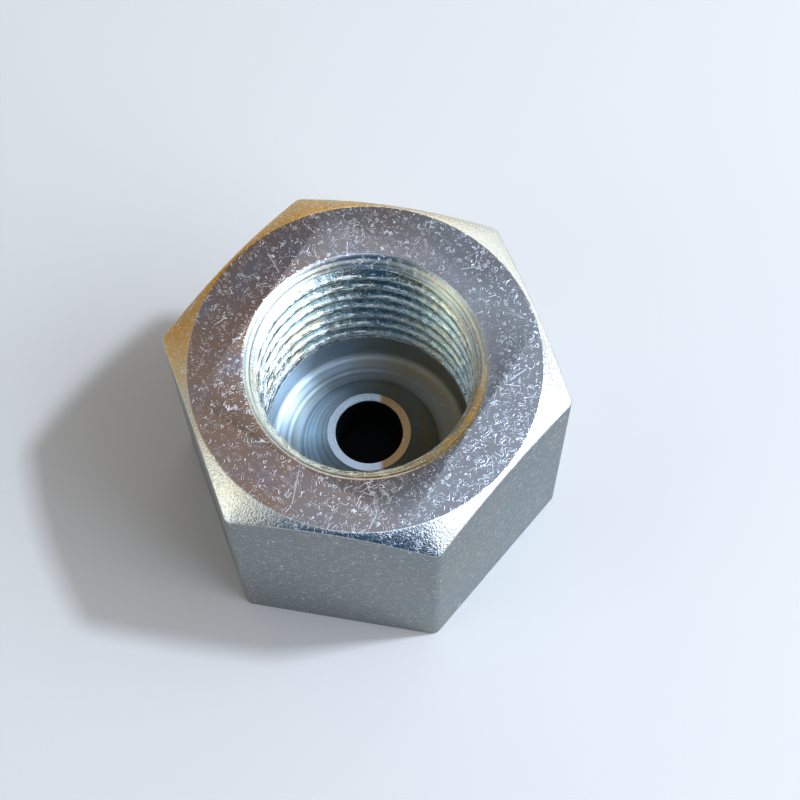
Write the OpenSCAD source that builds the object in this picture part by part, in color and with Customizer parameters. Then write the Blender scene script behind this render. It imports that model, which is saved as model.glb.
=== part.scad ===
// Threaded adapter fitting.
// One piece of hexagon steel bar, turned, bored and threaded from one end.
// A cone seat stands up from the floor of the threaded port and the flow
// passage runs through it to the plain outlet in the underside.
// The origin is the centre of the underside, Z points out of the threaded
// port and X points at one of the six upright corners. Units: millimetres.

/* [Hexagon body] */
// Width across the flats, the spanner size
hex_across_flats = 24; // [22:0.5:32]
// Height from the underside to the turned end face
body_height = 19; // [17:0.5:30]
// Radius of the six upright corners of the drawn bar
corner_radius = 0.6; // [0.2:0.1:1.5]
// How far inside the flats the end chamfer starts
chamfer_inset = 0.3; // [0.1:0.1:1.5]
// Slope of the end chamfer, measured from the end face
chamfer_angle = 30; // [15:5:45]

/* [Threaded port] */
// Nominal thread diameter
thread_diameter = 16; // [12:0.5:17.5]
// Thread pitch
thread_pitch = 1.5; // [1:0.25:2]
// Depth of the full thread below the end face
thread_depth = 11.6; // [9:0.1:12]
// Length of the plain bore below the thread, for the tap to run out
runout_length = 2.8; // [2.6:0.1:4]
// How much wider in radius the run-out is than the thread's crest
runout_relief = 0.15; // [0.05:0.05:0.5]
// How much wider than the thread the countersink is at the end face
mouth_oversize = 0.3; // [0:0.1:1]
// Slope of the countersink, measured from the end face
mouth_angle = 45; // [30:5:60]
// Radius where the run-out meets the floor of the port
floor_corner_radius = 0.7; // [0.2:0.1:0.9]

/* [Cone seat] */
// Height of the seat above the floor of the port
seat_height = 2.4; // [1:0.1:2.5]
// Half angle of the cone, measured from its axis
seat_half_angle = 42; // [30:1:45]
// Width of the flat ring on the tip, around the passage
seat_tip_width = 0.6; // [0.4:0.1:1]
// Bevel on both edges of the flat ring
seat_edge_break = 0.08; // [0.05:0.01:0.15]
// Radius where the cone meets the floor
seat_foot_radius = 0.3; // [0.1:0.1:0.6]

/* [Flow passage] */
// Diameter of the passage through the seat
passage_diameter = 4.8; // [3:0.1:5.5]
// Diameter of the plain outlet in the underside
outlet_diameter = 7; // [6:0.5:10]
// Depth of the outlet's parallel wall
outlet_depth = 2.7; // [1:0.1:3]
// Full angle of the drill point that joins outlet and passage
drill_point_angle = 118; // [90:1:135]
// Bevel on the outlet's edge in the underside
outlet_edge_break = 0.3; // [0.1:0.1:0.6]

/* [Hidden] */
$fn = 96;
sides = 6;
overcut = 1;  // how far a cutter runs past the surface it opens

flat_radius = hex_across_flats / 2;
corner_centre_radius = (flat_radius - corner_radius) / cos(180 / sides);
corner_reach = corner_centre_radius + corner_radius;
face_radius = flat_radius - chamfer_inset;
chamfer_drop = (corner_reach - face_radius) * tan(chamfer_angle);

// Basic profile of a 60 degree thread: the crests of the nut thread are
// cut off at 5/8 of the height of the sharp triangle.
triangle_height = thread_pitch * sqrt(3) / 2;
bore_radius = thread_diameter / 2 - triangle_height * 5 / 8;
mouth_radius = (thread_diameter + mouth_oversize) / 2;
mouth_drop = (mouth_radius - bore_radius) * tan(mouth_angle);

runout_radius = bore_radius + runout_relief;
runout_top_z = body_height - thread_depth;
floor_z = runout_top_z - runout_length;
seat_tip_z = floor_z + seat_height;
passage_radius = passage_diameter / 2;
seat_tip_radius = passage_radius + seat_tip_width;
seat_foot_spread = seat_tip_radius + seat_height * tan(seat_half_angle);
outlet_radius = outlet_diameter / 2;
outlet_point_height = (outlet_radius - passage_radius) / tan(drill_point_angle / 2);

// Hexagon bar with a true arc on each upright corner.
module hexagon_bar(height) {
  linear_extrude(height) {
    polygon([for (i = [0 : sides - 1], side = [-1, 1])
      let (corner = i * 360 / sides, flat = corner + side * 180 / sides)
      [corner_centre_radius * cos(corner) + corner_radius * cos(flat),
       corner_centre_radius * sin(corner) + corner_radius * sin(flat)]]);
    for (i = [0 : sides - 1]) rotate(i * 360 / sides)
      translate([corner_centre_radius, 0]) circle(corner_radius);
  }
}

// Solid of revolution that the lathe leaves outside the bar's end.
module turned_envelope() {
  rotate_extrude()
    polygon([[0, -overcut],
             [corner_reach + overcut, -overcut],
             [corner_reach + overcut, body_height - chamfer_drop - overcut * tan(chamfer_angle)],
             [face_radius, body_height],
             [0, body_height]]);
}

// Half section of the port as bored, with a round corner at its floor.
module port_section() {
  difference() {
    polygon([[0, floor_z],
             [runout_radius, floor_z],
             [runout_radius, runout_top_z],
             [bore_radius, runout_top_z + runout_relief],
             [bore_radius, body_height - mouth_drop],
             [mouth_radius, body_height],
             [mouth_radius + overcut / tan(mouth_angle), body_height + overcut],
             [0, body_height + overcut]]);
    translate([runout_radius - floor_corner_radius, floor_z]) difference() {
      square(floor_corner_radius);
      translate([0, floor_corner_radius]) circle(floor_corner_radius);
    }
  }
}

// Half section of the cone seat, with a small radius at its foot.
module seat_section() {
  foot_tangent = seat_foot_radius * tan((90 - seat_half_angle) / 2);
  translate([0, floor_z]) {
    polygon([[0, -overcut],
             [seat_foot_spread, -overcut],
             [seat_foot_spread, 0],
             [seat_tip_radius + seat_edge_break * tan(seat_half_angle), seat_height - seat_edge_break],
             [seat_tip_radius - seat_edge_break, seat_height],
             [0, seat_height]]);
    difference() {
      polygon([[seat_foot_spread, 0],
               [seat_foot_spread + foot_tangent, 0],
               [seat_foot_spread - foot_tangent * sin(seat_half_angle), foot_tangent * cos(seat_half_angle)]]);
      translate([seat_foot_spread + foot_tangent, seat_foot_radius]) circle(seat_foot_radius);
    }
  }
}

// Half section of the passage through the seat, with the wider outlet that
// is drilled from below and joins it at the drill point's cone.
module passage_section() {
  polygon([[0, -overcut],
           [outlet_radius + outlet_edge_break + overcut, -overcut],
           [outlet_radius, outlet_edge_break],
           [outlet_radius, outlet_depth],
           [passage_radius, outlet_depth + outlet_point_height],
           [passage_radius, seat_tip_z - seat_edge_break],
           [passage_radius + seat_edge_break + overcut, seat_tip_z + overcut],
           [0, seat_tip_z + overcut]]);
}

module adapter_body() {
  color([0.62, 0.62, 0.60])
    difference() {
      intersection() {
        hexagon_bar(body_height);
        turned_envelope();
      }
      rotate_extrude() difference() {
        port_section();
        seat_section();
      }
      rotate_extrude() passage_section();
    }
}

adapter_body();
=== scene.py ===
# %% [markdown]
# # A threaded adapter fitting
# The real object is one piece of hexagon steel bar. A lathe faces its end, bores a port,
# threads it and leaves a cone seat standing on the port's floor. Then the piece is zinc plated.
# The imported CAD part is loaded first, because it is the fixed frame that everything fits.

# %% Load the frame
import math

import bpy
from mathutils import Matrix, Vector


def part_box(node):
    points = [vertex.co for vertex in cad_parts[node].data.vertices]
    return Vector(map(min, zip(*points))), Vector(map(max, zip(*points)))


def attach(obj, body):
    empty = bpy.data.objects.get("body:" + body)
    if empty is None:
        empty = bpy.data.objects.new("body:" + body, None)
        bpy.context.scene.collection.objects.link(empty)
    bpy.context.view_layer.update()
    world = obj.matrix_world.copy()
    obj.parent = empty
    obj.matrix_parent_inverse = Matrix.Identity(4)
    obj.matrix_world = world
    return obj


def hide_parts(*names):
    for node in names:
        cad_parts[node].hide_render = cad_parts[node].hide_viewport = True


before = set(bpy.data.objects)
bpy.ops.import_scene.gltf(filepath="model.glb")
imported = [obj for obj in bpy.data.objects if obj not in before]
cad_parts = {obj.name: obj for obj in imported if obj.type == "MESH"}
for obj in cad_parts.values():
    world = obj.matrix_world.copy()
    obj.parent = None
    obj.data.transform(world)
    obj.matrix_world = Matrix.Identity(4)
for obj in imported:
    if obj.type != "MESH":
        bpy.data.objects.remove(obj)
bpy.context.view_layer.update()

low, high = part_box("adapter_body")
mm = 0.001
print("CAD box in mm:", [round(v / mm, 2) for v in (*low, *high)])

# %% [markdown]
# ## Sizes
# The outer sizes are read from the frame, so the looks can't drift from the solid. The inner
# ones are the port's own: an M16 thread of 1.5 mm pitch, the run-out below it, the cone seat
# and the passage. They are written once here, in metres, and every tool below uses them.

# %% Sizes of the body
across_flats = high[1] - low[1]
height = high[2] - low[2]
flat_radius = across_flats / 2
corner_reach = high[0]
chamfer_inset = 0.3 * mm
chamfer_slope = math.radians(30)
face_radius = flat_radius - chamfer_inset
print("hexagon", round(across_flats / mm, 2), "mm across flats,", round(height / mm, 2), "mm high")

# %% Sizes of the port, the seat and the passage
thread_radius = 8 * mm
pitch = 1.5 * mm
thread_depth = 11.6 * mm
bore_radius = thread_radius - pitch * math.sqrt(3) / 2 * 5 / 8
thread_end = height - thread_depth
mouth_radius = thread_radius + 0.15 * mm
mouth_drop = mouth_radius - bore_radius

runout_length = 2.8 * mm
runout_relief = 0.15 * mm
runout_radius = bore_radius + runout_relief
floor_level = thread_end - runout_length
floor_corner = 0.7 * mm

seat_height = 2.4 * mm
seat_tip_width = 0.6 * mm
seat_slope = math.radians(42)
seat_top = floor_level + seat_height
passage_radius = 2.4 * mm
seat_tip_radius = passage_radius + seat_tip_width
seat_foot_radius = seat_tip_radius + seat_height * math.tan(seat_slope)

outlet_radius = 3.5 * mm
outlet_depth = 2.7 * mm
outlet_edge = 0.3 * mm
drill_half_angle = math.radians(59)
drill_cone = (outlet_radius - passage_radius) / math.tan(drill_half_angle)
print("bore radius", round(bore_radius / mm, 3), "mm, port floor at", round(floor_level / mm, 2), "mm")

# %% [markdown]
# ## Working as by hand
# An operator acts on whatever is selected, so each step first clears the selection and then
# selects by place or direction. These three helpers do only that: one makes an object the
# only active one, one selects mesh elements by a rule, and one applies a modifier.

# %% Selection and modifier helpers
def only(obj):
    """Leaves edit mode and makes this object the only selected and active one."""
    if bpy.context.mode != "OBJECT":
        bpy.ops.object.mode_set(mode="OBJECT")
    bpy.ops.object.select_all(action="DESELECT")
    obj.select_set(True)
    bpy.context.view_layer.objects.active = obj


def choose(obj, kind, rule):
    """Opens obj in edit mode with just those vertices, edges or polygons selected that the rule takes."""
    only(obj)
    mesh = obj.data
    kinds = ("vertices", "edges", "polygons")
    bpy.context.tool_settings.mesh_select_mode = [kind == name for name in kinds]
    for name in kinds:
        elements = getattr(mesh, name)
        elements.foreach_set("select", [False] * len(elements))
    chosen = [element for element in getattr(mesh, kind) if rule(element)]
    for element in chosen:
        element.select = True
    bpy.ops.object.mode_set(mode="EDIT")
    return len(chosen)


def apply_modifier(obj, kind, **settings):
    """Adds a modifier with its settings and applies it at once."""
    only(obj)
    modifier = obj.modifiers.new(kind.title(), kind)
    for key, value in settings.items():
        setattr(modifier, key, value)
    bpy.ops.object.modifier_apply(modifier=modifier.name)


# %% [markdown]
# ## The hexagon bar
# Bright bar is drawn through a die, which leaves each upright corner a little round. A
# cylinder of six sides is that bar. Its upright edges are selected by direction and bevelled.
# The frame says how far the round corners reach, and their radius follows from that.

# %% Draw the bar
half_side_angle = math.pi / 6
sharp_reach = flat_radius / math.cos(half_side_angle)
bpy.ops.object.select_all(action="DESELECT")
bpy.ops.mesh.primitive_cylinder_add(vertices=6, radius=sharp_reach, depth=height,
                                    location=(0, 0, height / 2), rotation=(0, 0, half_side_angle))
adapter = bpy.context.object
adapter.name = adapter.data.name = "adapter"
bpy.ops.object.transform_apply()


def is_upright(edge):
    """An edge that runs along the bar."""
    a, b = (adapter.data.vertices[i].co for i in edge.vertices)
    return abs(a.z - b.z) > height / 2


print("upright edges:", choose(adapter, "edges", is_upright))
corner_radius = (sharp_reach - corner_reach) / (1 / math.cos(half_side_angle) - 1)
bpy.ops.mesh.bevel(offset=corner_radius * math.tan(half_side_angle), offset_type="OFFSET", segments=6,
                   affect="EDGES")
bpy.ops.object.mode_set(mode="OBJECT")
reached = max(vertex.co.x for vertex in adapter.data.vertices)
print("corner radius", round(corner_radius / mm, 2), "reach", round(reached / mm, 3), "mm")

# %% [markdown]
# ## Turning
# A lathe part is a section spun round an axis. By hand that is a disc whose end face is
# extruded and scaled again and again: each pair of numbers is one ring, its radius and its
# height. Steps of the same radius make walls, and steps of the same height make faces.

# %% A lathe made of extrude and resize
turn_steps = 256


def turn(name, section):
    """Makes a closed turned solid from the rings of its section, from the bottom up or the top down."""
    (radius, level), *rings = section
    bpy.ops.object.select_all(action="DESELECT")
    bpy.ops.mesh.primitive_circle_add(vertices=turn_steps, radius=radius, fill_type="NGON",
                                      location=(0, 0, level))
    tool = bpy.context.object
    tool.name = name
    bpy.ops.object.transform_apply()
    bpy.ops.object.mode_set(mode="EDIT")
    bpy.ops.mesh.select_all(action="SELECT")
    for next_radius, next_level in rings:
        bpy.ops.mesh.extrude_region_move(TRANSFORM_OT_translate={"value": (0, 0, next_level - level)})
        scale = next_radius / radius
        bpy.ops.transform.resize(value=(scale, scale, 1), center_override=(0, 0, 0))
        radius, level = next_radius, next_level
    bpy.ops.mesh.select_all(action="SELECT")
    bpy.ops.mesh.normals_make_consistent(inside=False)
    bpy.ops.object.mode_set(mode="OBJECT")
    return tool


def arc(centre_radius, centre_level, radius, start, end, pieces):
    """Rings along a small arc of the section, with its angles in degrees from outwards to up."""
    turns = [math.radians(start + (end - start) * i / pieces) for i in range(pieces + 1)]
    return [(centre_radius + radius * math.cos(t), centre_level + radius * math.sin(t)) for t in turns]


def cut(tool, operation="DIFFERENCE", piece=adapter):
    """Shapes the piece with a tool, then puts the tool away."""
    apply_modifier(piece, "BOOLEAN", operation=operation, object=tool, solver="MANIFOLD")
    bpy.data.objects.remove(tool)
    print(operation.lower(), "leaves", len(piece.data.polygons), "faces")


# %% [markdown]
# ## The faced and chamfered end
# The lathe faces the bar's end and takes its six corners off at 30 degrees. Where that cone
# meets the upright flats it leaves the curved edges that every nut has. They aren't drawn: they
# come by themselves when the bar is intersected with the turned solid. The tool leaves a small
# round between chamfer and end face.

# %% Turn the outside of the end
past = 1 * mm
chamfer_drop = (corner_reach + past - face_radius) * math.tan(chamfer_slope)
face_round = 0.2 * mm
round_centre = face_radius - face_round * math.tan(chamfer_slope / 2)
envelope = turn("turned_end", [
    (corner_reach + past, -past),
    (corner_reach + past, height - chamfer_drop),
    *arc(round_centre, height - face_round, face_round, 60, 90, 3),
])
cut(envelope, "INTERSECT")

# %% [markdown]
# ## Broken edges
# In the plating barrel the parts tumble over each other, which breaks every sharp outer edge by
# about a tenth of a millimetre. Such an edge catches a thin line of light, so it is worth real
# geometry. The edges to bevel are the base's, and the curved ones where two faces meet sharply.

# %% Break the outer edges
edge_break = 0.1 * mm
hair = 0.01 * mm
sharp = math.radians(40)
edge_normals = {}
for face in adapter.data.polygons:
    for key in face.edge_keys:
        edge_normals.setdefault(key, []).append(face.normal.copy())


def is_outer_edge(edge):
    """An edge round the base, or a sharp one below the end face that isn't upright."""
    a, b = (adapter.data.vertices[i].co for i in edge.vertices)
    at_base = max(a.z, b.z) < hair
    below_face = ((a + b) / 2).xy.length > face_radius + 0.05 * mm
    first, second = edge_normals[edge.key]
    return at_base or below_face and not is_upright(edge) and first.angle(second) > sharp


print("outer edges to break:", choose(adapter, "edges", is_outer_edge))
bpy.ops.mesh.bevel(offset=edge_break, offset_type="OFFSET", segments=3, affect="EDGES")
bpy.ops.object.mode_set(mode="OBJECT")

# %% [markdown]
# ## The port, its run-out and the cone seat
# One boring tool leaves the whole inside: a 45 degree countersink, the bore that will carry
# the thread, a slightly wider run-out, a floor, and the seat standing in the middle. Here it is
# turned as a solid plug of the air in the port, and cut out of the bar. The countersink's
# lathe grooves are a small uneven staircase on its slope: each step has a flatter and a steeper
# part, and the list says at which share of the slope each one ends.

# %% Grooves of the countersink
sink_top = (mouth_radius - 0.17 * mm, height - 0.12 * mm)
sink_end = (bore_radius, height - mouth_drop + 0.04 * mm)
groove_ends = (0, 0.2, 0.34, 0.58, 0.76, 1)
flatter_inward = 0.55
flatter_down = 0.45


def on_slope(inward, down):
    """A ring of the countersink, at these shares of its way in and of its way down."""
    radius = sink_top[0] + (sink_end[0] - sink_top[0]) * inward
    level = sink_top[1] + (sink_end[1] - sink_top[1]) * down
    return radius, level


sink_grooves = []
for first, last in zip(groove_ends, groove_ends[1:]):
    step = last - first
    sink_grooves.append(on_slope(first, first))
    sink_grooves.append(on_slope(first + step * flatter_inward, first + step * flatter_down))
print("countersink rings:", len(sink_grooves) + 1)

# %% Bore the port
floor_arc = arc(runout_radius - floor_corner, floor_level + floor_corner, floor_corner, 0, -90, 6)
mouth_edge = [
    (mouth_radius + past, height + past / 2),
    (mouth_radius + 0.08 * mm, height),
    (mouth_radius - 0.12 * mm, height - 0.072 * mm),
]
runout = [(bore_radius, thread_end + runout_relief), (runout_radius, thread_end), *floor_arc]
seat_foot = [
    (seat_foot_radius + 0.35 * mm, floor_level),
    (seat_foot_radius + 0.13 * mm, floor_level + 0.02 * mm),
    (seat_foot_radius - 0.09 * mm, floor_level + 0.1 * mm),
]
seat_tip = [
    (seat_tip_radius + 0.08 * mm, seat_top - 0.09 * mm),
    (seat_tip_radius + 0.02 * mm, seat_top - 0.03 * mm),
    (seat_tip_radius - 0.02 * mm, seat_top),
    (passage_radius + 0.04 * mm, seat_top),
    (passage_radius, seat_top - 0.04 * mm),
]
cut(turn("port_air", [*mouth_edge, *sink_grooves, sink_end, *runout, *seat_foot, *seat_tip]))

# %% [markdown]
# ## The passage and the outlet
# Two drills meet inside: a thin one through the seat, and a wider one from below, whose pointed
# tip leaves a cone between the two. The outlet's edge is countersunk, and the passage's lower
# edge is a little round. It is one more plug of air.

# %% Drill the passage and the outlet
passage = turn("passage_air", [
    (outlet_radius + outlet_edge + past, -past),
    (outlet_radius, outlet_edge),
    (outlet_radius, outlet_depth),
    (passage_radius + 0.06 * mm, outlet_depth + drill_cone),
    (passage_radius, outlet_depth + drill_cone + 0.08 * mm),
    (passage_radius, seat_top + past),
])
cut(passage)

# %% [markdown]
# ## The thread
# A nut thread is one V groove that climbs 1.5 mm in each turn. Its section starts as a plane
# whose outer side is narrowed to the groove's root, and whose inner side is extruded to round
# the crests. The Screw modifier winds the outline round the axis, and the wound bar is cut out
# of the bore, so the crests stay parts of the true bore.

# %% Draw the groove's section
flank = math.tan(math.radians(30))
crest_round = 0.11 * mm
root_half = pitch / 16
crest_half = root_half + (thread_radius - bore_radius) * flank
opening = [
    (bore_radius + crest_round, crest_half - crest_round * flank),
    (bore_radius + 0.35 * crest_round, crest_half + 0.1 * crest_round),
    (bore_radius + 0.1 * crest_round, crest_half + 0.5 * crest_round),
    (bore_radius - 0.25 * mm, crest_half + 1.2 * crest_round),
]
bpy.ops.object.select_all(action="DESELECT")
bpy.ops.mesh.primitive_plane_add(size=2 * mm, rotation=(math.pi / 2, 0, 0))
groove = bpy.context.object
groove.name = "thread_groove"
bpy.ops.object.transform_apply()
print("root corners:", choose(groove, "vertices", lambda vertex: vertex.co.x > 0))
bpy.ops.transform.resize(value=(1, 1, root_half / mm), center_override=(0, 0, 0))
bpy.ops.transform.translate(value=(thread_radius - mm, 0, 0))
print("inner corners:", choose(groove, "vertices", lambda vertex: vertex.co.x < 0))
at, half = opening[0]
bpy.ops.transform.resize(value=(1, 1, half / mm), center_override=(0, 0, 0))
bpy.ops.transform.translate(value=(at + mm, 0, 0))
for next_at, next_half in opening[1:]:
    bpy.ops.mesh.extrude_edges_move(TRANSFORM_OT_translate={"value": (next_at - at, 0, 0)})
    bpy.ops.transform.resize(value=(1, 1, next_half / half), center_override=(0, 0, 0))
    at, half = next_at, next_half

# %% [markdown]
# ## Winding the thread
# The section's faces are joined and deleted, so that only its outline is wound. A tap starts
# with a tapered lead, so the thread fades at the bottom: before the wound bar is cut out of the
# bore, it is trimmed with a cone.

# %% Wind the groove
start_below = 0.55 * mm
first_turn = thread_end - pitch - start_below
turns = math.ceil((height - first_turn) / pitch) + 1
bpy.ops.mesh.select_all(action="SELECT")
bpy.ops.mesh.dissolve_faces()
bpy.ops.mesh.select_all(action="SELECT")
bpy.ops.transform.translate(value=(0, 0, first_turn))
bpy.ops.mesh.delete(type="ONLY_FACE")
bpy.ops.object.mode_set(mode="OBJECT")
print("corners of the groove's section:", len(groove.data.vertices), "turns:", turns)
apply_modifier(groove, "SCREW", angle=2 * math.pi, screw_offset=pitch, iterations=turns, steps=turn_steps,
               render_steps=turn_steps, use_merge_vertices=False)
only(groove)
bpy.ops.object.mode_set(mode="EDIT")
bpy.ops.mesh.select_mode(type="EDGE")
bpy.ops.mesh.select_all(action="SELECT")
bpy.ops.mesh.fill_holes(sides=0)
bpy.ops.mesh.select_all(action="SELECT")
bpy.ops.mesh.normals_make_consistent(inside=False)
bpy.ops.object.mode_set(mode="OBJECT")

# %% Trim the lead and cut the thread
clear = 0.1 * mm
lead = turn("tap_lead", [
    (bore_radius - 4 * clear, thread_end - 2 * pitch),
    (bore_radius - clear, thread_end + clear),
    (thread_radius + clear, thread_end + clear + pitch),
    (thread_radius + clear, height + 3 * pitch),
])
cut(lead, "INTERSECT", groove)
cut(groove)

# %% Merge what the cuts left double
points_before = len(adapter.data.vertices)
only(adapter)
bpy.ops.object.mode_set(mode="EDIT")
bpy.ops.mesh.select_all(action="SELECT")
bpy.ops.mesh.remove_doubles(threshold=0.002 * mm)
bpy.ops.mesh.normals_make_consistent(inside=False)
bpy.ops.object.mode_set(mode="OBJECT")
print("merged points:", points_before - len(adapter.data.vertices))

# %% [markdown]
# ## Torn crests
# A tap never leaves a clean thread in free-cutting steel: the crests are a little ragged. A
# cloud texture pushes the thread's points, and no others, in and out by up to a twentieth of a
# millimetre, in flakes of about a third of a millimetre.

# %% Roughen the thread
flake_size = 0.3 * mm
flake_depth = 0.1 * mm
thread_points = adapter.vertex_groups.new(name="thread_points")
near_thread = [vertex.index for vertex in adapter.data.vertices
               if bore_radius - 0.02 * mm < vertex.co.xy.length < thread_radius - 0.2 * mm
               and thread_end + 0.3 * mm < vertex.co.z < height - mouth_drop - 0.05 * mm]
thread_points.add(near_thread, 1.0, "REPLACE")
flakes = bpy.data.textures.new("torn_flakes", "CLOUDS")
flakes.noise_scale = flake_size
flakes.noise_depth = 2
apply_modifier(adapter, "DISPLACE", texture=flakes, texture_coords="LOCAL", vertex_group="thread_points",
               strength=flake_depth, mid_level=0.5)
adapter.vertex_groups.clear()
print("torn points:", len(near_thread))
bpy.ops.object.shade_smooth_by_angle(angle=math.radians(28))
print("adapter:", len(adapter.data.vertices), "vertices,", len(adapter.data.polygons), "faces")

# %% [markdown]
# ## Making a material
# Colours are written as hex codes, the way a picture program shows them, and one function turns
# them into the linear values that a shader works with. One more adds a node, sets what is
# given and links what comes from another node. Every pattern works in millimetres of the
# part's own Object coordinates, so a scale of 4 is a grain of a quarter of a millimetre.

# %% Colours and nodes
def colour(code):
    """The linear colour of an sRGB hex code."""
    channels = [int(code[i:i + 2], 16) / 255 for i in (1, 3, 5)]
    return tuple(c / 12.92 if c <= 0.04045 else ((c + 0.055) / 1.055) ** 2.4 for c in channels) + (1,)


def connect(tree, node, links):
    """Fills a node's inputs with values, sockets, or other nodes, which give their first live output."""
    for key, value in links.items():
        if isinstance(value, bpy.types.Node):
            value = next(socket for socket in value.outputs if socket.enabled)
        if isinstance(value, bpy.types.NodeSocket):
            tree.links.new(value, node.inputs[key])
        else:
            node.inputs[key].default_value = value


def add(tree, kind, links=None, **settings):
    """Adds a node with its own settings, and connects its inputs."""
    made = tree.nodes.new("ShaderNode" + kind)
    for key, value in settings.items():
        setattr(made, key, value)
    connect(tree, made, links or {})
    return made


def new_metal(name):
    """A metal's tree and shader, and the place on the part in millimetres."""
    metal = bpy.data.materials.new(name)
    metal.use_nodes = True
    tree = metal.node_tree
    shader = tree.nodes["Principled BSDF"]
    shader.inputs["Metallic"].default_value = 1
    coordinates = add(tree, "TexCoord")
    place = add(tree, "VectorMath", {0: coordinates.outputs["Object"], "Scale": 1 / mm}, operation="SCALE")
    print("finish:", name)
    return metal, tree, shader, place


# %% [markdown]
# ## What zinc plating looks like
# The steel is electroplated with zinc and then dipped in a clear passivate. That leaves a
# bright but satin metal with a thin film on it, which tints the reflection rose brown in one
# place and lavender, straw or cool green in another. So the tint runs slowly from one colour to
# a second across the part, and soft patches of a third lie over both.

# %% The film's tint
def film_tint(tree, place, colours, patch_size=9, slope=(0.030, 0.022, 0), start=0.3):
    """Runs from the first colour to the second across the part, with soft patches of the third.

    The slope is how much of the change each millimetre along X and Y brings."""
    first, second, third = (colour(code) for code in colours)
    along = add(tree, "VectorMath", {0: place, 1: slope}, operation="DOT_PRODUCT")
    wide = add(tree, "TexNoise", {"Vector": place, "Scale": 1 / patch_size, "Detail": 3})
    shifted = add(tree, "Math", {0: along, 1: wide}, operation="ADD")
    wide_amount = add(tree, "MapRange", {0: shifted, 1: start, 2: start + 0.45})
    close = add(tree, "TexNoise", {"Vector": place, "Scale": 2.3 / patch_size, "Detail": 3})
    close_amount = add(tree, "MapRange", {0: close, 1: 0.45, 2: 0.75})
    base = add(tree, "Mix", {0: wide_amount, 6: first, 7: second}, data_type="RGBA")
    return add(tree, "Mix", {0: close_amount, 6: base, 7: third}, data_type="RGBA")


# %% [markdown]
# ## Marks from the plating barrel
# The parts are plated loose in a turning barrel and knock together. That leaves fine curled dents, specks and
# small broken rings, all about a tenth of a millimetre wide, which scatter the light: they are rougher and
# stand in the bump, and their glint is painted on as a pale colour, a painted highlight. Curls are drawn as
# the level lines of a smooth noise, like the contours on a map, and cut into short pieces. Dots and rings are
# cells of a Voronoi pattern, bent by a noise so that none is a perfect circle.

# %% Curled dents
def curls(tree, place, scale, width, gaps, kept_above):
    """Level lines of a smooth noise, cut into short pieces where a second noise is low."""
    smooth = add(tree, "TexNoise", {"Vector": place, "Scale": scale, "Detail": 0, "Distortion": 0.5})
    levels = add(tree, "Math", {0: smooth, 1: 5}, operation="MULTIPLY")
    from_level = add(tree, "Math", {0: levels, 1: 0.5}, operation="PINGPONG")
    line = add(tree, "MapRange", {0: from_level, 1: width / 3, 2: width, 3: 1, 4: 0})
    gap = add(tree, "TexNoise", {"Vector": place, "Scale": gaps, "Detail": 1})
    kept = add(tree, "MapRange", {0: gap, 1: kept_above, 2: kept_above + 0.04})
    return add(tree, "Math", {0: line, 1: kept}, operation="MULTIPLY")


# %% Specks and ringlets
def specks(tree, place, density):
    """Dots in some cells of a Voronoi pattern, and fainter rings in some cells of a wider one."""
    wobble = add(tree, "TexNoise", {"Vector": place, "Scale": 4})
    bent = add(tree, "VectorMath", {0: wobble.outputs["Color"], 1: (0.35, 0.35, 0.35), 2: place},
               operation="MULTIPLY_ADD")
    cells = add(tree, "TexVoronoi", {"Vector": bent, "Scale": 3.4})
    dot = add(tree, "MapRange", {0: cells, 1: 0.10, 2: 0.20, 3: 0.9, 4: 0})
    chance = add(tree, "SeparateColor", {0: cells.outputs["Color"]})
    some = add(tree, "Math", {0: chance.outputs["Red"], 1: 1 - density * 0.55}, operation="GREATER_THAN")
    dots = add(tree, "Math", {0: dot, 1: some}, operation="MULTIPLY")
    wide_cells = add(tree, "TexVoronoi", {"Vector": bent, "Scale": 2.1})
    ring = add(tree, "Math", {0: wide_cells, 1: 0.22, 2: 0.04}, operation="COMPARE")
    chance = add(tree, "SeparateColor", {0: wide_cells.outputs["Color"]})
    some = add(tree, "Math", {0: chance.outputs["Green"], 1: 1 - density * 0.45}, operation="GREATER_THAN")
    ringlets = add(tree, "Math", {0: ring, 1: some}, operation="MULTIPLY")
    faint_ringlets = add(tree, "Math", {0: ringlets, 1: 0.55}, operation="MULTIPLY")
    return add(tree, "Math", {0: dots, 1: faint_ringlets}, operation="MAXIMUM")


# %% All the barrel's marks
def barrel_marks(tree, place, density):
    """A clear set of curls, a fainter and finer set, and the specks. About 0 is sparse, 1 is dense."""
    clear_curls = curls(tree, place, 1.3, 0.062, 1.9, 0.65 - 0.10 * density)
    other_place = add(tree, "Mapping", {"Vector": place, "Location": (7, 3, 5), "Rotation": (0.3, 0.5, 0.8)})
    fine_curls = curls(tree, other_place, 2.1, 0.095, 2.2, 0.60 - 0.12 * density)
    faint_curls = add(tree, "Math", {0: fine_curls, 1: 0.5}, operation="MULTIPLY")
    both = add(tree, "Math", {0: clear_curls, 1: faint_curls}, operation="MAXIMUM")
    return add(tree, "Math", {0: both, 1: specks(tree, place, density)}, operation="MAXIMUM")
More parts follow.
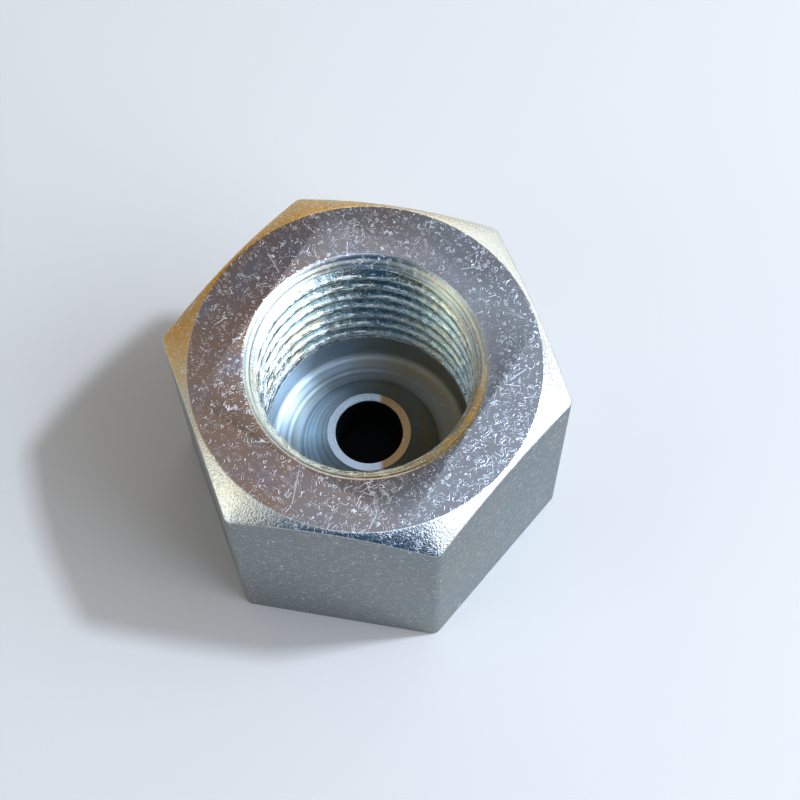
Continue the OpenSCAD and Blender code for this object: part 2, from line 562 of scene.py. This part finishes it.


# %% [markdown]
# ## One surface from tint, marks and relief
# Every finish ends in the same way. Its marks are rougher than the ground and stand a little in the bump, and
# they are painted paler, a painted highlight. Its relief is the fine form that the tool left: it swings the
# roughness between two values and feeds the bump. The last helper measures how far a place is from the axis,
# because whatever a lathe leaves depends on that distance alone.

# %% Surface and distance helpers
def surface(tree, shader, tint, marks, relief, gloss, mark_highlight_colour, bump, dent=0.2, mark_rough=0.55):
    """Joins the patterns to the shader. Gloss is the roughness on low and on high relief."""
    # Painted highlight: the marks are painted in the pale mark colour.
    base = add(tree, "Mix", {0: marks, 6: tint, 7: colour(mark_highlight_colour)}, data_type="RGBA")
    smooth, rough = gloss
    ground_rough = add(tree, "MapRange", {0: relief, 1: 0.3, 2: 0.7, 3: smooth, 4: rough})
    roughness = add(tree, "Mix", {0: marks, 2: ground_rough, 3: mark_rough})
    form = add(tree, "Math", {0: marks, 1: dent, 2: relief}, operation="MULTIPLY_ADD")
    normal = add(tree, "Bump", {"Height": form, "Strength": bump, "Distance": 0.05 * mm})
    connect(tree, shader, {"Base Color": base, "Roughness": roughness, "Normal": normal})


def from_axis(tree, place):
    """The distance from the part's axis in millimetres."""
    flat_place = add(tree, "VectorMath", {0: place, 1: (1, 1, 0)}, operation="MULTIPLY")
    return add(tree, "VectorMath", {0: flat_place}, operation="LENGTH")


# %% [markdown]
# ## Wear on the end face
# Besides the barrel's marks, the end face has a few straight scratches and three places that
# were rubbed until their curls run together. A scratch is the distance to the line between its
# two ends, and a rubbed place is a denser set of curls inside a soft circle. Their places are
# given in millimetres on the end face, from its centre.

# %% Scratches and rubbed places
scratches = (
    ((-2.83, -8.1), (-2.82, -10.4)),
    ((2.56, -10.3), (2.29, -11.2)),
    ((-0.19, -11.3), (-0.36, -11.7)),
    ((9.54, 0.42), (10.45, 1.37)),
    ((9.26, 0.08), (10.24, 0.11)),
    ((-6.9, 5.6), (-7.9, 6.9)),
    ((5.1, 7.9), (6.0, 8.2)),
)
rubbed_places = (((2.1, -9.0), 1.7), ((-2.3, 9.8), 1.7), ((9.3, -4.5), 2.0))


def scratch(tree, place, start, end, width=0.05):
    """A straight scratch between two points of the end face."""
    start, end = Vector((*start, height / mm)), Vector((*end, height / mm))
    from_start = add(tree, "VectorMath", {0: place, 1: start}, operation="SUBTRACT")
    along = add(tree, "VectorMath", {0: from_start, 1: end - start}, operation="DOT_PRODUCT")
    share = add(tree, "Math", {0: along, 1: (end - start).length_squared}, operation="DIVIDE", use_clamp=True)
    nearest = add(tree, "VectorMath", {0: end - start, "Scale": share}, operation="SCALE")
    away = add(tree, "VectorMath", {0: from_start, 1: nearest}, operation="DISTANCE")
    return add(tree, "MapRange", {0: away, 1: width / 3, 2: width, 3: 0.7, 4: 0})


def rubbed_place(tree, place, centre, reach):
    """Dense curls inside a soft circle on the end face."""
    away = add(tree, "VectorMath", {0: place, 1: (*centre, height / mm)}, operation="DISTANCE")
    inside = add(tree, "MapRange", {0: away, 1: reach / 2, 2: reach, 3: 0.8, 4: 0})
    dense_curls = curls(tree, place, 1.7, 0.07, 1.5, 0.42)
    return add(tree, "Math", {0: dense_curls, 1: inside}, operation="MULTIPLY")


# %% [markdown]
# ## The turned end face and the chamfer
# Both are turned steel under zinc, bright and a little satin, with faint rings an eighth of a
# millimetre apart. The end face was cut finely, so its ground is calm and the wear on it shows.
# The chamfer was cut coarsely, and its small pebbles sparkle. The film is rose brown on the left of the end
# face and cool on the right. On the chamfer it turns straw towards the far left, which is partly film tint
# and partly a painted reflection of the warm low backdrop there. One function makes both, so that they stay
# one metal.

# %% Turned finishes
def turned_metal(name, film, density, pebble_scale, pebble_part, bump, gloss, wear=False):
    """A finish of fine rings on small pebbles, with the end face's wear if it is asked for."""
    metal, tree, shader, place = new_metal(name)
    pebbles = add(tree, "TexNoise", {"Vector": place, "Scale": pebble_scale, "Detail": 3, "Roughness": 0.5})
    ground = add(tree, "Math", {0: pebbles, 1: pebble_part}, operation="MULTIPLY")
    rings = add(tree, "TexNoise", {"W": from_axis(tree, place), "Scale": 8, "Detail": 2},
                noise_dimensions="1D")
    relief = add(tree, "Math", {0: rings, 1: 0.12, 2: ground}, operation="MULTIPLY_ADD")
    marks = [barrel_marks(tree, place, density)]
    if wear:
        marks += [scratch(tree, place, start, end) for start, end in scratches]
        marks += [rubbed_place(tree, place, centre, reach) for centre, reach in rubbed_places]
    strongest = marks[0]
    for mark in marks[1:]:
        strongest = add(tree, "Math", {0: strongest, 1: mark}, operation="MAXIMUM")
    surface(tree, shader, film_tint(tree, place, **film), strongest, relief, gloss, "#d9e5ec", bump,
            mark_rough=0.48)
    return metal


end_film = dict(colours=("#ac9585", "#afbac4", "#9f9fab"), slope=(0.045, 0.008, 0))
# Partly painted reflection: the chamfer's straw towards the far left copies the warm low backdrop that it
# mirrors.
chamfer_film_and_painted_reflection = dict(colours=("#cbd0d2", "#dcc592", "#c8cbc8"), slope=(-0.044, 0.025, 0), start=0.5)
turned = turned_metal("zinc_plated_turned_steel", end_film, density=0.95, pebble_scale=3.4, pebble_part=0.25,
                      bump=0.45, gloss=(0.22, 0.34), wear=True)
chamfered = turned_metal("zinc_plated_chamfered_steel", chamfer_film_and_painted_reflection, density=0.9, pebble_scale=7,
                         pebble_part=1, bump=0.55, gloss=(0.14, 0.26))

# %% [markdown]
# ## The countersink
# It is the same turned, plated steel, but its lathe grooves are clear: cool grey ones and straw
# ones, a fifth of a millimetre apart. The rings choose between the film's tint and a plain zinc
# grey, and also give the fine relief on top of the grooves that were turned.

# %% Countersink
countersunk, tree, shader, place = new_metal("zinc_plated_countersink")
rings = add(tree, "TexNoise", {"W": from_axis(tree, place), "Scale": 5.5, "Detail": 2}, noise_dimensions="1D")
clear_rings = add(tree, "MapRange", {0: rings, 1: 0.4, 2: 0.6})
film = film_tint(tree, place, ("#d6d8ce", "#dccfb0", "#c8d2d2"), patch_size=5)
tint = add(tree, "Mix", {0: clear_rings, 6: colour("#a3b4b8"), 7: film}, data_type="RGBA")
marks = barrel_marks(tree, place, 1.1)
surface(tree, shader, tint, marks, rings, gloss=(0.26, 0.42), mark_highlight_colour="#f2f6f6", bump=1.0)

# %% [markdown]
# ## The drawn flats and the underside
# The die squeezes the bar instead of cutting it. Under the zinc that surface is duller than the
# turned ones and softly pebbled, with a grain of about 0.3 mm, and its marks are broad and matt.

# %% Drawn flats
drawn, tree, shader, place = new_metal("zinc_plated_drawn_steel")
grain = add(tree, "TexNoise", {"Vector": place, "Scale": 3.5, "Detail": 3, "Roughness": 0.6})
tint = film_tint(tree, place, ("#858b8c", "#7f8a8c", "#8a8c88"), patch_size=12)
marks = barrel_marks(tree, place, 0.6)
surface(tree, shader, tint, marks, grain, gloss=(0.4, 0.6), mark_highlight_colour="#d8dede", bump=0.9, dent=0.5,
        mark_rough=0.65)

# %% [markdown]
# ## The cut thread
# The tap tears the metal along its path, so this pattern is drawn out round the axis: each torn flake is
# about half a millimetre long and a tenth wide, and the crests carry pale dashes of a millimetre or more,
# which are painted highlights. To follow the thread, the place is unrolled first: one coordinate runs round
# the axis, and the other is the height less the thread's climb. The flanks are painted darker deep in the
# port, as painted shade between the crests, while the crests and the flanks near the mouth stay pale.

# %% Unroll the thread
threaded, tree, shader, place = new_metal("zinc_plated_cut_thread")
split = add(tree, "SeparateXYZ", {0: place})
angle = add(tree, "Math", {0: split.outputs["X"], 1: split.outputs["Y"]}, operation="ARCTAN2")
around = add(tree, "Math", {0: angle, 1: thread_radius / mm}, operation="MULTIPLY")
climb = add(tree, "Math", {0: angle, 1: pitch / mm / (2 * math.pi), 2: split.outputs["Z"]},
            operation="MULTIPLY_ADD")
unrolled = add(tree, "CombineXYZ", {"X": around, "Y": climb})
short_way = add(tree, "Mapping", {"Vector": unrolled, "Scale": (1, 3.5, 1)})
torn = add(tree, "TexNoise", {"Vector": short_way, "Scale": 2.4, "Detail": 4, "Roughness": 0.7})
long_way = add(tree, "Mapping", {"Vector": unrolled, "Scale": (0.35, 3.5, 1)})
dashes = add(tree, "TexNoise", {"Vector": long_way, "Scale": 2.4, "Detail": 2})

# %% Thread finish
crest = bore_radius / mm
on_flank = add(tree, "MapRange", {0: from_axis(tree, place), 1: crest + 0.08, 2: crest + 0.3})
# Painted shade: the thread's flanks are painted darker from 1.8 mm below the end face downwards.
deep = add(tree, "MapRange", {0: split.outputs["Z"], 1: height / mm - 1.8, 2: height / mm - 0.9, 3: 1, 4: 0})
deep_flank_painted_shade = add(tree, "Math", {0: on_flank, 1: deep}, operation="MULTIPLY")
crest_film = film_tint(tree, place, ("#dbe7e9", "#d2e1e1", "#dccfaa"), patch_size=6)
flank_painted_shade_tint = film_tint(tree, place, ("#708c90", "#698683", "#8a8262"), patch_size=6)
tint = add(tree, "Mix", {0: deep_flank_painted_shade, 6: crest_film, 7: flank_painted_shade_tint}, data_type="RGBA")
# Painted highlight: pale dashes along the crests.
dash = add(tree, "MapRange", {0: dashes, 1: 0.52, 2: 0.56})
crest_painted_highlight = add(tree, "MapRange", {0: on_flank, 1: 0.2, 2: 0.6, 3: dash, 4: 0})
marks = add(tree, "Math", {0: barrel_marks(tree, place, 0.7), 1: crest_painted_highlight}, operation="MAXIMUM")
surface(tree, shader, tint, marks, torn, gloss=(0.12, 0.26), mark_highlight_colour="#e8f0f0", bump=0.7, dent=0.4,
        mark_rough=0.5)

# %% [markdown]
# ## The bored run-out, floor and seat
# The boring bar leaves clear bands of zinc and hair-fine grooves round the axis. The zinc colour is partly
# film tint and partly painted light and shade: cool on the left of the port, where the lamp shines in, and
# straw on the right, in the rim's shadow.
# Such grooves stretch each highlight across them, which is what the shader's anisotropy does: a
# radial tangent gives the direction, and the quarter turn lays the highlight across the grooves.
# The bands follow the distance from the axis on the floor and the height on the walls. The tools
# keep knocks away from here, so there are hardly any marks.

# %% Bored finish
bored, tree, shader, place = new_metal("zinc_plated_bored_steel")
split = add(tree, "SeparateXYZ", {0: place})
along = add(tree, "Math", {0: split.outputs["Z"], 1: 2.3, 2: from_axis(tree, place)},
            operation="MULTIPLY_ADD")
bands = add(tree, "TexNoise", {"W": along, "Scale": 2.2, "Detail": 5, "Roughness": 0.65},
            noise_dimensions="1D")
clear_bands = add(tree, "MapRange", {0: bands, 1: 0.35, 2: 0.65})
# Partly painted light and shade: the steep slope along X makes the film cool on the lit left and straw on the
# shaded right.
film = film_tint(tree, place, ("#b3cad8", "#ab9a6e", "#a6b4b8"), patch_size=8, slope=(0.12, 0.02, 0))
tint = add(tree, "Mix", {0: clear_bands, 6: colour("#8d9495"), 7: film}, data_type="RGBA")
marks = barrel_marks(tree, place, -0.6)
surface(tree, shader, tint, marks, bands, gloss=(0.36, 0.5), mark_highlight_colour="#d3d8d8", bump=0.1)
groove_way = add(tree, "Tangent", direction_type="RADIAL", axis="Z")
connect(tree, shader, {"Anisotropic": 0.8, "Anisotropic Rotation": 0.25, "Tangent": groove_way})

# %% [markdown]
# ## The seat's flat tip
# This small ring is painted with light and shade: cool and pale on the side that the bright lamp lights, and
# straw on the side in the rim's shadow. The border between the painted light and the painted shade is a soft
# step, 0.3 mm wide, along one direction across the ring.

# %% Seat tip
tip, tree, shader, place = new_metal("zinc_plated_seat_tip")
rings = add(tree, "TexNoise", {"W": from_axis(tree, place), "Scale": 7, "Detail": 2}, noise_dimensions="1D")
across = add(tree, "VectorMath", {0: place, 1: (0.98, 0.19, 0)}, operation="DOT_PRODUCT")
lit_to_shaded_border = add(tree, "MapRange", {0: across, 1: 0.7, 2: 1.0})
# Painted light and shade: the cool pale colour is the lamp's light, and the straw colour is the rim's shadow.
tint = add(tree, "Mix", {0: lit_to_shaded_border, 6: colour("#d6ecff"), 7: colour("#b39468")}, data_type="RGBA")
marks = barrel_marks(tree, place, -0.4)
surface(tree, shader, tint, marks, rings, gloss=(0.22, 0.32), mark_highlight_colour="#f0f4f6", bump=0.1)

# %% [markdown]
# ## The drilled passage and outlet
# The walls of the passage and the outlet are painted dark grey. That is partly the bare drilled steel that
# little zinc reaches deep in a small hole, and partly painted shade of the narrow hole. The drill leaves
# rings along the hole, a quarter of a millimetre apart.

# %% Drilled finish
drilled, tree, shader, place = new_metal("drilled_steel_and_painted_shade")
split = add(tree, "SeparateXYZ", {0: place})
rings = add(tree, "TexNoise", {"W": split.outputs["Z"], "Scale": 4, "Detail": 3}, noise_dimensions="1D")
# Partly painted shade: the hole's walls are painted dark.
tint = add(tree, "Mix", {0: rings, 6: colour("#3d4a4e"), 7: colour("#66757a")}, data_type="RGBA")
marks = barrel_marks(tree, place, -0.4)
surface(tree, shader, tint, marks, rings, gloss=(0.22, 0.4), mark_highlight_colour="#8a9294", bump=0.2)

# %% [markdown]
# ## Where each finish goes
# The piece is one mesh, so each finish is given to faces. A rule looks at a face's distance from
# the axis, its height and the way it points, which is how one would name the places on the real
# part. The drawn finish goes everywhere first, and each later rule takes over the faces it names.

# %% Places on the part
def everywhere(radius, level, normal):
    return True


def on_chamfer(radius, level, normal):
    return normal.z > 0.3 and level > height - 3 * mm


def on_end_face(radius, level, normal):
    return normal.z > 0.99 and level > height - hair


def in_port(radius, level, normal):
    return radius < runout_radius + hair and hair < level < thread_end + 0.2 * mm


def in_passage(radius, level, normal):
    above_outlet = radius < passage_radius + hair and level < seat_top - 0.04 * mm
    in_outlet = radius < outlet_radius + 0.4 * mm and level < outlet_depth + drill_cone
    return above_outlet or in_outlet and normal.z > -0.9


def on_thread(radius, level, normal):
    at_thread = thread_end + hair < level < height - 0.02 * mm
    return at_thread and bore_radius - 0.05 * mm < radius < mouth_radius - 0.07 * mm


def on_countersink(radius, level, normal):
    groove_reach = 0.07 * mm
    off_slope = radius + height - level - mouth_radius + groove_reach
    return level > height - mouth_drop and 0.3 < normal.z < 0.97 and abs(off_slope) < groove_reach


def on_mouth_edge(radius, level, normal):
    return radius < mouth_radius + 0.2 * mm and level > height - 0.06 * mm and normal.z > 0.9


def on_seat_tip(radius, level, normal):
    at_tip = seat_top - 0.05 * mm < level < height / 2 + 1 * mm
    return at_tip and radius < seat_tip_radius + 0.05 * mm and normal.z > 0.5


# %% Give each face its finish
def give(metal, rule):
    """Assigns a material to the faces that a rule takes."""
    if metal.name not in adapter.data.materials:
        adapter.data.materials.append(metal)
    count = choose(adapter, "polygons", lambda face: rule(face.center.xy.length, face.center.z, face.normal))
    adapter.active_material_index = adapter.data.materials.find(metal.name)
    bpy.ops.object.material_slot_assign()
    bpy.ops.object.mode_set(mode="OBJECT")
    print(metal.name, "on", count, "faces")


give(drawn, everywhere)
give(chamfered, on_chamfer)
give(turned, on_end_face)
give(bored, in_port)
give(drilled, in_passage)
give(threaded, on_thread)
give(countersunk, on_countersink)
give(turned, on_mouth_edge)
give(tip, on_seat_tip)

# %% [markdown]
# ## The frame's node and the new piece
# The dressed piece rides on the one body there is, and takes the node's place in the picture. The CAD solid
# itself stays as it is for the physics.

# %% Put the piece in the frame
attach(adapter, "root")
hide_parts("adapter_body")

# %% [markdown]
# ## The floor and what lies under the passage
# The fitting stands on a plain pale sheet of matt paper, which keeps its shadow. The passage goes right
# through, so the paper would show at its end as a pale spot where the hole should be black with shade. A
# black disc, smaller than the fitting, lies there as painted shade and hides the paper.

# %% Paper and the painted shade disc
def matt(name, code, roughness):
    """A plain matt material for the stage."""
    material = bpy.data.materials.new(name)
    material.use_nodes = True
    shader = material.node_tree.nodes["Principled BSDF"]
    shader.inputs["Base Color"].default_value = colour(code)
    shader.inputs["Roughness"].default_value = roughness
    return material


bpy.ops.object.select_all(action="DESELECT")
bpy.ops.mesh.primitive_plane_add(size=4, location=(0, 0, -2 * hair))
floor = bpy.context.object
floor.name = "floor"
floor.data.materials.append(matt("matt_paper", "#bcbbb7", 0.9))
bpy.ops.object.select_all(action="DESELECT")
# A black disc put where the end of the hole lies in shade: painted shade.
bpy.ops.mesh.primitive_circle_add(vertices=64, radius=5 * mm, fill_type="NGON", location=(0, 0, -hair))
painted_shade_disc = bpy.context.object
painted_shade_disc.name = "painted_shade_disc"
painted_shade_disc.data.materials.append(matt("painted_shade_black", "#101011", 1))
for laid in (floor, painted_shade_disc):
    only(laid)
    bpy.ops.object.transform_apply()
    print(laid.name, "is", round(laid.dimensions.x / mm), "mm wide")

# %% [markdown]
# ## A room for metal
# Metal shows what stands round it, so the room is part of the finish. Its walls are an even
# pale grey, with three soft patches: a blue one in front, which the front chamfer and the far
# flanks of the thread mirror, a dim grey one high at the back for the end face, and a gold one
# low at the back left for the chamfer there. Directions are azimuths as the photograph shows
# them, where 0 is right and 90 is away, and elevations above the floor.

# %% Walls
photo_turn = math.radians(10.85)
room = bpy.data.worlds.new("room")
room.use_nodes = True
tree = room.node_tree
ray = add(tree, "VectorMath", {0: add(tree, "TexCoord").outputs["Generated"]}, operation="NORMALIZE")
upwards = add(tree, "MapRange", {0: add(tree, "SeparateXYZ", {0: ray}).outputs["Z"], 1: 0, 2: 1})


def direction(azimuth, elevation):
    """A unit vector from the fitting, from angles in degrees."""
    about, up = math.radians(azimuth) + photo_turn, math.radians(elevation)
    return Vector((math.cos(about) * math.cos(up), math.sin(about) * math.cos(up), math.sin(up)))


def patch(under, azimuth, elevation, faint_from, full_from, code):
    """Paints a soft round patch on the walls, its two edges in degrees from its centre."""
    facing = add(tree, "VectorMath", {0: ray, 1: direction(azimuth, elevation)}, operation="DOT_PRODUCT")
    faint, full = math.cos(math.radians(faint_from)), math.cos(math.radians(full_from))
    amount = add(tree, "MapRange", {0: facing, 1: faint, 2: full})
    return add(tree, "Mix", {0: amount, 6: under, 7: colour(code)}, data_type="RGBA")


walls = add(tree, "Mix", {0: upwards, 6: colour("#c2c0bb"), 7: colour("#c4c2c8")}, data_type="RGBA")
walls = patch(walls, -95, 32, 44, 26, "#2f4f70")
walls = patch(walls, 100, 50, 21, 9, "#787b82")
walls = patch(walls, 118, 7, 42, 25, "#b88a30")
connect(tree, tree.nodes["Background"], {"Color": walls})
bpy.context.scene.world = room
print("room of", len(tree.nodes), "nodes")

# %% [markdown]
# ## Soft lamps
# Six cards of light stand round the fitting, as in a product shot. A large cool window on the
# right makes the white chamfer. A small bright lamp above it reaches into the port, and the
# mouth's rim cuts its light off, so the left of the floor is bright and the right is dark. The
# others are wide and weak and fill one chamfer or one side of the port each. Each card is
# hidden from the camera itself.

# %% Lamps
def lamp(name, azimuth, elevation, distance, size, watts, code):
    """A card of light aimed at the fitting. Its distance and two sides are in metres."""
    bpy.ops.object.light_add(type="AREA")
    card = bpy.context.object
    card.name = name
    card.data.shape = "RECTANGLE"
    card.data.size, card.data.size_y = size
    card.data.energy = watts
    card.data.color = colour(code)[:3]
    way_out = direction(azimuth, elevation)
    card.location = way_out * distance
    card.rotation_euler = way_out.to_track_quat("Z", "Y").to_euler()
    card.visible_camera = False


lamp("window", -15, 40, 0.35, (0.32, 0.26), 1.2, "#e2ecff")
lamp("bright_lamp", 4, 58, 0.40, (0.03, 0.03), 1.4, "#dceaff")
lamp("second_window", -158, 27, 0.4, (0.17, 0.24), 0.19, "#f4faec")
lamp("front_card", -60, 72, 0.4, (0.24, 0.09), 0.14, "#cfe2ff")
lamp("cream_card", 44, 13, 0.5, (0.66, 0.22), 0.58, "#fbfbf0")
lamp("rear_card", 90, 21, 0.5, (0.24, 0.11), 0.15, "#fff6e4")
print("lamps:", sum(light.energy for light in bpy.data.lights), "watts in all")

# %% [markdown]
# ## The camera
# It stands where the photograph was taken: 140 millimetres from the point it aims at, looking
# down at 67 degrees, a degree off level, with a lens of 82 millimetres on a 36 millimetre frame.

# %% Camera at the photograph's angle
aim = Vector((2.244, 5.384, 0)) * mm
elevation = math.radians(67.06)
roll = math.radians(-1.046)
distance = 139.72 * mm
bpy.ops.object.camera_add()
camera = bpy.context.object
camera.data.sensor_width = 36
camera.data.lens = 82.46
camera.data.clip_start = 5 * mm
camera.matrix_world = (
    Matrix.Rotation(photo_turn, 4, "Z") @ Matrix.Translation(aim)
    @ Matrix.Rotation(math.pi / 2 - elevation, 4, "X") @ Matrix.Rotation(roll, 4, "Z")
    @ Matrix.Translation((0, 0, distance)))
bpy.context.scene.camera = camera
bpy.context.scene.view_settings.view_transform = "Standard"
print("camera at", [round(v / mm, 1) for v in camera.matrix_world.translation], "mm")
